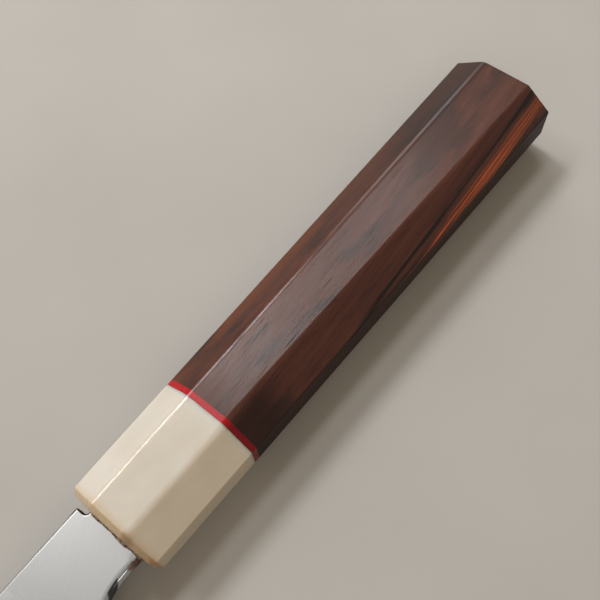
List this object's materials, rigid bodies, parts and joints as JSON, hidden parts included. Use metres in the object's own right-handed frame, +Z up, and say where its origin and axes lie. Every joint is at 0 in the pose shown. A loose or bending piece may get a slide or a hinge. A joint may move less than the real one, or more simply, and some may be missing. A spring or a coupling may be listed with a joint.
{
  "type": "gyuto knife",
  "caption": "Chef's knife for slicing and chopping: satin steel blade with a rounded choil, hidden tang, octagonal rosewood handle, cream ferrule and thin red spacer.",
  "frame": {"origin": "under the middle of the knife's box, on the surface that the handle's lower side face lies on", "axes": "+X along the handle from the tip to the butt, +Y from the edge to the spine, +Z up out of the upper side face"},
  "size_m": [0.4028, 0.0536, 0.018],
  "materials": {
    "satin_steel": "fine lengthwise satin, polished along the spine and the choil",
    "brown_seal": "matte, hardened",
    "cream_resin": "polished, slightly translucent",
    "red_fibre": "polished flush with the wood",
    "pale_hardwood": "sanded, hidden",
    "rosewood": "oiled and buffed, straight grain along the handle"
  },
  "bodies": {
    "root": {"blade": "satin_steel", "mouth_seal": "brown_seal", "ferrule": "cream_resin", "spacer": "red_fibre", "tang_core": "pale_hardwood", "handle_body": "rosewood"}
  },
  "joints": []
}
